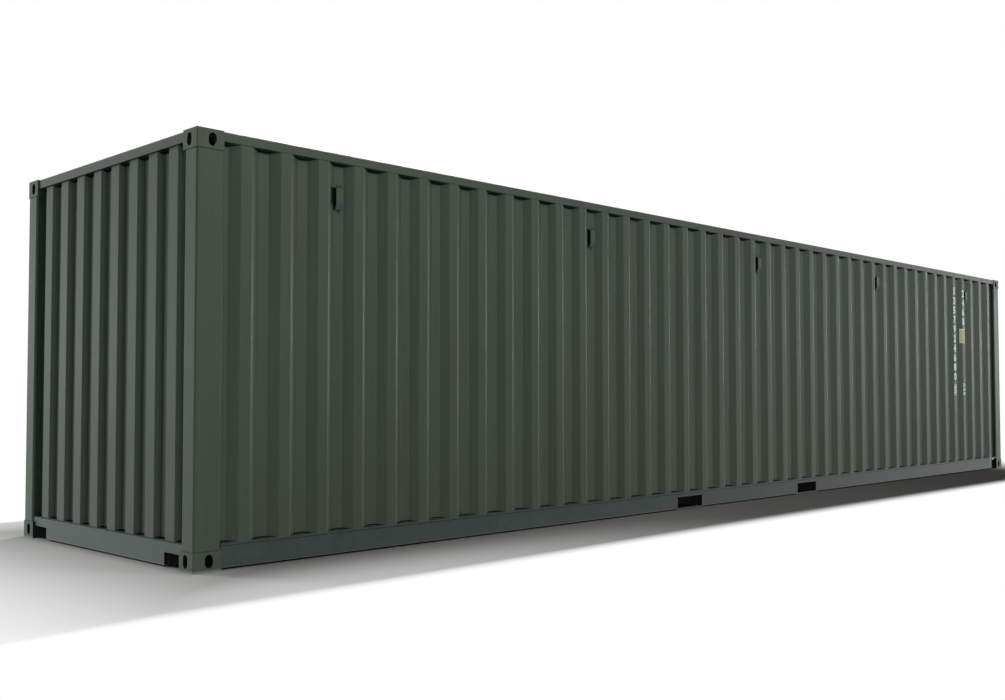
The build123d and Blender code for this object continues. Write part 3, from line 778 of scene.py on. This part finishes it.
leftWall = foldedSheet("side_wall_left_pressed", sideWall)
sideBeads = [
    edgeBead(leftWall, "side_weld_left_foot", sideWall["bottom"], sideWall["weld"]),
    edgeBead(leftWall, "side_weld_left_head", sideWall["top"], sideWall["weld"]),
]
thicken(leftWall, sideWall["thickness"], (0, -1, 0))
dress(leftWall, sidePaint, "paint", "side_wall_left")
rightWall = acrossCopy(leftWall, "side_wall_right_pressed")
dress(rightWall, sidePaint, "paint", "side_wall_right")
for bead in sideBeads:
    other = acrossCopy(bead, bead.name.replace("left", "right"))
    for piece in (bead, other):
        dress(piece, weldPaint, "paint", smooth=80.0)
print("side walls pressed")

endWall = foldedSheet("front_wall_pressed", frontWall)
endBeads = [
    edgeBead(endWall, "front_weld_foot", frontWall["bottom"], frontWall["weld"]),
    edgeBead(endWall, "front_weld_head", frontWall["top"], frontWall["weld"]),
]
# Drawn along X like the side wall, then stood across the end: X becomes -Y and Y becomes X
for piece in [endWall] + endBeads:
    piece.data.transform(Matrix.Rotation(-pi / 2, 4, "Z"))
thicken(endWall, frontWall["thickness"], (-1, 0, 0))
dress(endWall, endPaint, "paint", "front_wall")
# The end's weld beads carry the painted shade: dark lines at the sheet's foot and head
for bead in endBeads:
    dress(bead, cornerShade, "paint", smooth=80.0)
print("front wall pressed")


# Roof troughs and door panels: the folds on the outer face are rounded
roofPress = {"depth": 0.020, "round": 0.007, "plainEnd": 5.85, "plainSide": 1.10}
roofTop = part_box("roof_sheet")[1].z
roofLevels = [roofTop - part * roofPress["depth"] / 2 for part in range(3)]
roundFolds(
    "roof_sheet", roofPress["round"], sheetPaint, "paint",
    lambda place, way: (
        abs(place.x) < roofPress["plainEnd"] and abs(place.y) < roofPress["plainSide"]
        and min(abs(level - place.z) for level in roofLevels) < roughly))

panelPress = {"round": 0.010, "depth": 0.036, "shortest": 0.3, "margin": 0.001}
for node in ("door_panel_left", "door_panel_right"):
    panelLow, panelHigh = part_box(node)
    panelFaces = (panelHigh.x, panelHigh.x - panelPress["depth"])
    levels = (panelLow.z + panelPress["margin"], panelHigh.z - panelPress["margin"])
    roundFolds(
        node, panelPress["round"], sheetPaint, "paint",
        lambda place, way, levels=levels, faces=panelFaces: (
            abs(way.y) > panelPress["shortest"] and levels[0] < place.z < levels[1]
            and min(abs(place.x - face) for face in faces) < roughly))
print("roof and door panels pressed")


# Vents: a folded screen on the wall under a hood with open cheeks
ventLow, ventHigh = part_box("vents_left")
vent = {
    "firstX": -5.064, "step": 2.520, "count": 5,
    "back": ventHigh.y, "top": ventHigh.z, "height": 0.192, "plate": 0.002,
    "right": 0.031, "fold": -0.0365, "wingEnd": -0.071, "rise": 0.0185,
    "plateWall": 0.0018, "plateBend": 0.004, "plateEdge": 0.0006,
    "hoodLeft": -0.0375, "hoodRight": 0.0195, "hoodFront": ventLow.y,
    "hoodTop": 2.374, "hoodLow": 2.224, "hoodSlope": 0.010, "hoodTaper": 0.040, "hoodTuck": 0.015,
    "hoodWall": 0.0018, "hoodBend": 0.0025, "hoodEdge": 0.0005,
    "screenGap": 0.0012, "screenWall": 0.0008, "screenRight": 0.0165, "screenFold": -0.0368,
    "screenEnd": -0.069, "screenRise": 0.01739, "screenLow": 2.230, "screenTop": 2.370,
    "screenCut": 0.048,
    "coreSide": 0.0015, "coreGap": 0.0025, "coreBack": 0.001, "coreTop": 0.006,
    "coreEdge": 0.0008, "coreTuck": 0.017, "coreDeep": 0.018,
    "slats": 4, "slatHeight": 0.0035, "slatWall": 0.0024, "slatInset": 0.004, "slatProud": 0.0006,
    "rivet": 0.0064, "rivetRise": 0.55, "rivetSink": 0.0008,
    "rivetPlaces": ((-0.018, 2.386), (0.014, 2.386), (-0.004, 2.212)),
}


# A sheet of constant width along one axis whose section follows a path in the other two
def pathSheet(name, path, across, low, high):
    clearSelection()
    bpy.ops.mesh.primitive_plane_add(size=1)
    sheet = nameIt(bpy.context.object, name)
    for point in sheet.data.vertices:
        point.co = across(path[1 if point.co.y > 0 else 0], high if point.co.x > 0 else low)
    bpy.ops.object.mode_set(mode="EDIT")
    for first, second in zip(path[1:], path[2:]):
        at = (across(first, low) + across(first, high)) / 2
        pick(sheet, "EDGE", lambda place, way, at=at: (place - at).length < exact)
        pushOut(across(second, low) - across(first, low))
    bpy.ops.object.mode_set(mode="OBJECT")
    return sheet


def acrossX(point, x):
    return Vector((x, point[0], point[1]))


def acrossZ(point, z):
    return Vector((point[0], point[1], z))


def ventPlate(sizes):
    front = sizes["back"] - sizes["plate"]
    path = [
        (sizes["right"], front), (sizes["fold"], front),
        (sizes["wingEnd"], front - sizes["rise"])]
    plate = pathSheet("vent_plate", path, acrossZ, sizes["top"] - sizes["height"], sizes["top"])
    bevelBends(plate, sizes["plateBend"], 2, foldAngle)
    thicken(plate, sizes["plateWall"], (0, -1, 0))
    bevelBends(plate, sizes["plateEdge"], 1, edgeAngle)
    return plate


def ventHood(sizes):
    front, back = sizes["hoodFront"], sizes["back"] - sizes["plate"]
    path = [
        (back, sizes["hoodTop"]),
        (front, sizes["hoodTop"] - sizes["hoodSlope"]),
        (front, sizes["hoodLow"] + sizes["hoodTaper"]),
        (front + sizes["hoodTuck"], sizes["hoodLow"]),
        (back, sizes["hoodLow"])]
    hood = pathSheet("vent_hood", path, acrossX, sizes["hoodLeft"], sizes["hoodRight"])
    bevelBends(hood, sizes["hoodBend"], 3, foldAngle)
    thicken(hood, sizes["hoodWall"], (0, -1, 0))
    bevelBends(hood, sizes["hoodEdge"], 1, edgeAngle)
    return hood


def ventScreen(sizes):
    # Wire cloth in front of the plate, from under the hood up the slope, its foot cut slantwise
    front = sizes["back"] - sizes["plate"] - sizes["screenGap"]
    end, low = sizes["screenEnd"], sizes["screenLow"]
    path = [
        (sizes["screenRight"], front), (sizes["screenFold"], front),
        (end, front - sizes["screenRise"])]
    screen = pathSheet("vent_screen", path, acrossZ, low, sizes["screenTop"])
    takeUp(screen)
    bpy.ops.object.mode_set(mode="EDIT")
    pick(screen, "VERT", lambda corner: corner.x < end + roughly and corner.z < low + roughly)
    bpy.ops.transform.translate(value=(0, 0, sizes["screenCut"]))
    bpy.ops.object.mode_set(mode="OBJECT")
    thicken(screen, sizes["screenWall"], (0, -1, 0))
    return screen


def ventCore(sizes):
    # A dark block that fills the room under the hood, just inside its cheeks, tucked in below as
    # the hood is: painted shade for the hood's hollow
    front, low = sizes["hoodFront"] + sizes["coreGap"], sizes["hoodLow"] + sizes["coreGap"]
    back = sizes["back"] - sizes["plate"] - sizes["coreBack"]
    level = sizes["hoodLow"] + sizes["hoodTaper"]
    core = easedBlock(
        "vent_core", (sizes["hoodLeft"] + sizes["coreSide"], front, low),
        (sizes["hoodRight"] - sizes["coreSide"], back, sizes["hoodTop"] - sizes["coreTop"]),
        sizes["coreEdge"])
    bpy.ops.object.mode_set(mode="EDIT")
    pick(core, "VERT", lambda corner: (
        corner.y < front + 2 * sizes["coreEdge"] and corner.z < low + 2 * sizes["coreEdge"]))
    bpy.ops.transform.translate(value=(0, sizes["coreTuck"], 0))
    bpy.ops.mesh.select_all(action="SELECT")
    bpy.ops.mesh.bisect(plane_co=(0, front, level), plane_no=(0, 0, 1))
    pick(core, "VERT", lambda corner: (
        abs(corner.z - level) < closeBy and corner.y < sizes["hoodFront"] + sizes["coreDeep"]))
    bpy.ops.transform.resize(value=(1, 0, 1), center_override=(0, front, level))
    bpy.ops.object.mode_set(mode="OBJECT")
    return core


def ventSlats(sizes):
    # Thin slats across the lower, tucked-in part of the hood
    inset, wall, height = sizes["slatInset"], sizes["slatWall"] / 2, sizes["slatHeight"] / 2
    slat = easedBlock(
        "vent_slat", (sizes["hoodLeft"] + inset, -wall, -height),
        (sizes["hoodRight"] - inset, wall, height), wall / 3)
    places = []
    for index in range(sizes["slats"]):
        drop = inset + (sizes["hoodTaper"] - 2 * inset) * (index + 0.5) / sizes["slats"]
        tuck = sizes["hoodTuck"] * drop / sizes["hoodTaper"]
        places.append((
            0, sizes["hoodFront"] + tuck - sizes["slatProud"],
            sizes["hoodLow"] + sizes["hoodTaper"] - drop))
    return strew(slat, "vent_slats", places)


def ventRivets(sizes):
    clearSelection()
    bpy.ops.mesh.primitive_uv_sphere_add(segments=12, ring_count=6, radius=sizes["rivet"])
    rivet = nameIt(bpy.context.object, "vent_rivet")
    rivet.scale = (1, sizes["rivetRise"], 1)
    settle(rivet)
    front = sizes["back"] - sizes["plate"] - sizes["rivetSink"]
    return strew(rivet, "vent_rivets", [(x, front, z) for x, z in sizes["rivetPlaces"]])


ventRow = [(vent["firstX"] + index * vent["step"], 0, 0) for index in range(vent["count"])]
for maker, surface, slot in (
        (ventPlate, framePaint, "paint"), (ventHood, framePaint, "paint"),
        (ventScreen, mesh, "rubber"), (ventCore, mesh, "rubber"),
        (ventSlats, grille, "rubber"), (ventRivets, rivetBlack, "rubber")):
    pattern = maker(vent)
    name = pattern.name
    row = strew(pattern, name + "_row_left", ventRow)
    other = acrossCopy(row, name + "_row_right")
    for piece, node in ((row, "vents_left"), (other, "vents_right")):
        dress(piece, surface, slot, *([node] if maker is ventHood else []))
print("vents fitted")


# Markings in plain digits on two flats near the doors of the left side. The yellow plate
# wraps from its flat onto the slope beside it.
marks = {
    "face": sideWall["face"], "proud": 0.0003, "sunk": 0.0002, "ease": 0.0001, "wallShare": 0.9,
    "digitHeight": 0.098, "digitWidth": 0.066, "digitWeight": 0.045, "narrowest": 0.45,
    "firstX": 4.596, "secondX": 4.876,
    "first": "1357924680", "firstTop": 2.394, "firstStep": 0.1222,
    "second": "2468", "secondTop": 2.380, "secondStep": 0.1210,
    "boxed": "5", "boxedWidth": 0.0528,
    "boxTop": 1.144, "boxHeight": 0.142, "boxWidth": 0.070, "boxLine": 0.009,
    "plateTop": 1.868, "plateHeight": 0.184, "plateRight": 4.908, "plateReach": 0.046,
    "plateLine": 0.009,
    "plateDigits": "12", "plateDigitX": 4.866, "plateDigitTop": 1.838, "plateDigitStep": 0.070,
    "plateDigitSize": (0.030, 0.050),
    "small": ("12", "34", "56"), "smallTop": 1.157, "smallHeight": 0.042, "smallStep": 0.054,
    "smallWidth": 0.064,
}


def paintedText(text, name, x, top, width, height, sizes, layers=1):
    clearSelection()
    bpy.ops.object.text_add()
    lettering = bpy.context.object
    lettering.data.body = text
    lettering.data.resolution_u = 3
    lettering.data.offset = sizes["digitWeight"]
    bpy.ops.object.convert(target="MESH")
    lettering = nameIt(bpy.context.object, name)
    spots = [point.co for point in lettering.data.vertices]
    low = Vector((min(spot.x for spot in spots), min(spot.y for spot in spots), 0))
    high = Vector((max(spot.x for spot in spots), max(spot.y for spot in spots), 0))
    span = high - low
    wide = width / max(span.x, span.y * sizes["narrowest"])
    face = sizes["face"] - layers * sizes["proud"]
    lettering.data.transform(Matrix.Translation(-(low + high) / 2))
    lettering.data.transform(Matrix.Diagonal((wide, height / span.y, 1, 1)))
    lettering.data.transform(Matrix.Rotation(pi / 2, 4, "X"))
    lettering.data.transform(Matrix.Translation((x, face, top - height / 2)))
    return lettering


# A patch from a flat onto the slope at its -X side, bent as the sheet is
def wrappedPatch(name, right, reach, low, high, proud):
    run, rise = sideWall["slope"], sideWall["depth"]
    length = (run * run + rise * rise) ** 0.5
    edge, face = marks["secondX"] - sideWall["flat"] / 2, marks["face"] - proud
    path = [
        (right, face),
        (edge - proud * rise / length / 2, face),
        (edge - (reach * run + proud * rise) / length,
         face + proud + (reach * rise - proud * run) / length)]
    patch = pathSheet(name, path, acrossZ, low, high)
    bevelBends(patch, sideWall["bend"], sideWall["rounds"], foldAngle)
    thicken(patch, proud * marks["wallShare"], (0, -1, 0))
    return patch


def paintedBar(name, low, high, sizes):
    # A thin flat patch between two corners given as (X, Z)
    front, back = sizes["face"] - sizes["proud"], sizes["face"] + sizes["sunk"]
    return easedBlock(name, (low[0], front, low[1]), (high[0], back, high[1]), sizes["ease"])


def paintedFrame(name, x, top, width, height, line, sizes):
    left, right, low = x - width / 2, x + width / 2, top - height
    return [
        paintedBar(name, (left, low), (right, low + line), sizes),
        paintedBar(name, (left, top - line), (right, top), sizes),
        paintedBar(name, (left, low + line), (left + line, top - line), sizes),
        paintedBar(name, (right - line, low + line), (right, top - line), sizes)]


def paintMarks(sizes):
    pieces = []
    for text, x, top, step in (
            (sizes["first"], sizes["firstX"], sizes["firstTop"], sizes["firstStep"]),
            (sizes["second"], sizes["secondX"], sizes["secondTop"], sizes["secondStep"])):
        for index, digit in enumerate(text):
            pieces.append(paintedText(
                digit, "digit", x, top - index * step, sizes["digitWidth"], sizes["digitHeight"],
                sizes))
    boxMiddle = sizes["boxTop"] - sizes["boxHeight"] / 2 + sizes["digitHeight"] / 2
    pieces.append(paintedText(
        sizes["boxed"], "digit", sizes["firstX"], boxMiddle, sizes["boxedWidth"],
        sizes["digitHeight"], sizes))
    pieces += paintedFrame(
        "box", sizes["firstX"], sizes["boxTop"], sizes["boxWidth"], sizes["boxHeight"],
        sizes["boxLine"], sizes)
    for index, text in enumerate(sizes["small"]):
        pieces.append(paintedText(
            text, "digit", sizes["secondX"], sizes["smallTop"] - index * sizes["smallStep"],
            sizes["smallWidth"], sizes["smallHeight"], sizes))
    right, reach, line = sizes["plateRight"], sizes["plateReach"], sizes["plateLine"]
    top, low = sizes["plateTop"], sizes["plateTop"] - sizes["plateHeight"]
    pieces.append(wrappedPatch("plate_rim", right, reach, low, top, sizes["proud"]))
    white = joinAll(pieces, "markings_white_left")
    yellow = wrappedPatch(
        "marking_plate_left", right - line, reach - line, low + line, top - line,
        2 * sizes["proud"])
    digits = [
        paintedText(
            digit, "digit", sizes["plateDigitX"],
            sizes["plateDigitTop"] - index * sizes["plateDigitStep"], *sizes["plateDigitSize"],
            sizes, 3)
        for index, digit in enumerate(sizes["plateDigits"])]
    return white, yellow, joinAll(digits, "marking_plate_digits_left")


for piece, surface in zip(paintMarks(marks), (whiteMark, yellowMark, ochreMark)):
    dress(piece, surface, "paint")
print("markings painted")


# Bolts of the guides that hold the locking bars
bolt = {
    "head": 0.0065, "height": 0.0045, "edge": 0.0008, "washer": 0.0085, "washerWall": 0.0012}


def hexBolt(sizes):
    clearSelection()
    turn = (0, pi / 2, 0)
    bpy.ops.mesh.primitive_cylinder_add(
        vertices=16, radius=sizes["washer"], depth=sizes["washerWall"],
        location=(sizes["washerWall"] / 2, 0, 0), rotation=turn)
    washer = settle(bpy.context.object)
    bpy.ops.mesh.primitive_cylinder_add(
        vertices=6, radius=sizes["head"], depth=sizes["height"],
        location=(sizes["washerWall"] + sizes["height"] / 2, 0, 0), rotation=turn)
    head = settle(bpy.context.object)
    bevelBends(head, sizes["edge"], 1, edgeAngle)
    return joinAll([head, washer], "bolt")


# The bars' lines, the guides' feet beside them, and each face that carries guides with their
# levels: the door frame and the flats of its panel
doorPlan = {
    "lines": (0.235, 0.815), "guideFoot": 0.0310, "guideWall": 0.006,
    "faces": ((6.018, (0.236, 2.377)), (6.0148, (0.703, 1.910))),
}


def boltPlaces(plan):
    return [
        (face + plan["guideWall"], side * (line + shift), level)
        for side in (-1, 1) for line in plan["lines"]
        for shift in (-plan["guideFoot"], plan["guideFoot"])
        for face, levels in plan["faces"] for level in levels]


guideBolts = strew(hexBolt(bolt), "guide_bolts", boltPlaces(doorPlan))
dress(guideBolts, zinc, "door_gear")
print("bolts set")


# Nodes whose plain shape is right only get their finish; the fork tunnels get the painted shade
for node, surface in (
        ("roof_corner_plates", framePaint), ("cross_members", wax), ("fork_tunnels", cornerShade),
        ("floor_boards", plywood)):
    for holder in frame["nodes"][node].material_slots:
        holder.material = surface


# Floor, lamps and surroundings. A lamp stands far off: degrees round from +X towards +Y, height in
# degrees, power, softness in degrees and colour.
warm, plain, green = (1.0, 0.96, 0.88), (1.0, 1.0, 1.0), (0.92, 1.0, 0.92)
studio = {
    "lamps": {
        "shadow_lamp": (25.7, 50.8, 2.6, 2.0, plain),
        "side_lamp": (310.0, 32.0, 1.24, 16.0, plain),
        "high_side_lamp": (260.0, 60.0, 0.28, 16.0, warm),
        "slope_lamp": (286.0, 6.0, 0.17, 14.0, plain),
        "front_lamp": (210.0, 60.0, 0.38, 16.0, warm),
        "end_lamp": (112.0, 40.0, 2.4, 16.0, green),
        "low_end_lamp": (112.0, 2.0, 0.050, 14.0, green),
        "far_lamp": (347.0, 2.0, 0.10, 14.0, green),
        "line_lamp": (357.0, 4.0, 0.12, 5.0, plain),
    },
    "lampsAway": 30.0, "skyPower": 0.02,
    "floorSize": 160.0, "whiteBeside": (1.98, 2.30), "whiteEnds": (5.4, 8.2),
    "penumbraSide": (1.15, 2.10), "penumbraEnds": (-1.0, -6.2), "penumbraShare": 0.45,
    "paper": colour(0.20, 0.20, 0.20), "darkPaper": colour(0.09, 0.09, 0.09),
    "deeperShade": (-5.0, 5.0),
    "under": (1.16, 1.30, 6.02, 6.20),
    "dimPaper": colour(0.21, 0.34, 0.46), "dimFront": colour(0.60, 0.80, 0.90),
    "frontStrip": (-5.9, -6.3, -8.2, -7.2),
}


def addLamp(name, lamp, away):
    around, height, power, softness, tone = lamp
    around, height = radians(around), radians(height)
    toward = Vector((cos(around), sin(around), sin(height) / cos(height)))
    bpy.ops.object.light_add(type="SUN", location=toward.normalized() * away)
    light = bpy.context.object
    light.name = name
    light.rotation_mode = "QUATERNION"
    light.rotation_quaternion = (-toward).to_track_quat("-Z", "Y")
    light.data.energy = power
    light.data.angle = radians(softness)
    light.data.color = tone


def paperRecipe(name, sizes):
    # Pale studio floor: plain white past the shadow, with painted glow at the shadow's edges, and
    # dim for the light that it throws back
    recipe = Recipe(name)
    side = recipe.math("ABSOLUTE", recipe.axis("Y"))
    along = recipe.math("ABSOLUTE", recipe.axis("X"))
    # The glow fades in over a stretch beside the container and past its ends: painted soft shadow
    # edges
    beside = recipe.ramp(side, *sizes["whiteBeside"])
    ends = recipe.ramp(along, *sizes["whiteEnds"])
    # Painted light: a glow that lightens the floor's shadow towards the front end
    soft = recipe.ramp(side, *sizes["penumbraSide"]) * recipe.ramp(recipe.axis("X"), *sizes["penumbraEnds"])
    # No glow on the floor under the container
    clearSide, openSide, clearEnd, openEnd = sizes["under"]
    clear = recipe.math(
        "MAXIMUM", recipe.ramp(side, clearSide, openSide), recipe.ramp(along, clearEnd, openEnd))
    away = recipe.math("MAXIMUM", beside, ends)
    away = recipe.math("MAXIMUM", away, soft * sizes["penumbraShare"]) * clear
    away = recipe.math(
        "MAXIMUM", away, recipe.add("ShaderNodeLightPath", {}, {}, "Is Glossy Ray"))
    seen = recipe.seenDirectly()
    glow = recipe.add("ShaderNodeEmission", {}, {"Color": colour(1, 1, 1), "Strength": 1.0})
    deeper = recipe.ramp(recipe.axis("X"), *sizes["deeperShade"])
    tone = recipe.blend(deeper, sizes["paper"], sizes["darkPaper"])
    paper = recipe.add("ShaderNodeBsdfDiffuse", {}, {"Color": tone})
    # Before the front end the floor throws back more
    start, full, end, fullEnd = sizes["frontStrip"]
    strip = recipe.ramp(recipe.axis("X"), start, full) * recipe.ramp(recipe.axis("X"), end, fullEnd)
    dimTone = recipe.blend(strip, sizes["dimPaper"], sizes["dimFront"])
    dim = recipe.add("ShaderNodeBsdfDiffuse", {}, {"Color": dimTone})
    shown = recipe.add("ShaderNodeMixShader", {}, {0: away, 1: paper, 2: glow})
    mixed = recipe.add("ShaderNodeMixShader", {}, {0: seen, 1: dim, 2: shown})
    recipe.add("ShaderNodeOutputMaterial", {}, {"Surface": mixed})
    return recipe.material


def surroundings(power):
    # Plain white where it is seen, weak where it only lights
    world = bpy.data.worlds.new("studio_surround")
    bpy.context.scene.world = world
    world.use_nodes = True
    recipe = Recipe(world)
    soft = recipe.add("ShaderNodeBackground", {}, {"Color": colour(1, 1, 1), "Strength": power})
    white = recipe.add("ShaderNodeBackground", {}, {"Color": colour(1, 1, 1), "Strength": 1.0})
    mixed = recipe.add("ShaderNodeMixShader", {}, {0: recipe.seenDirectly(), 1: soft, 2: white})
    recipe.add("ShaderNodeOutputWorld", {}, {"Surface": mixed})


def buildStudio(sizes):
    clearSelection()
    bpy.ops.mesh.primitive_plane_add(size=sizes["floorSize"], location=(0, 0, 0))
    floor = nameIt(bpy.context.object, "studio_floor")
    floor.data.materials.append(paperRecipe("studio_paper", sizes))
    for name, lamp in sizes["lamps"].items():
        addLamp(name, lamp, sizes["lampsAway"])
    surroundings(sizes["skyPower"])
    bpy.context.scene.view_settings.view_transform = "Standard"


buildStudio(studio)
print("studio lit")
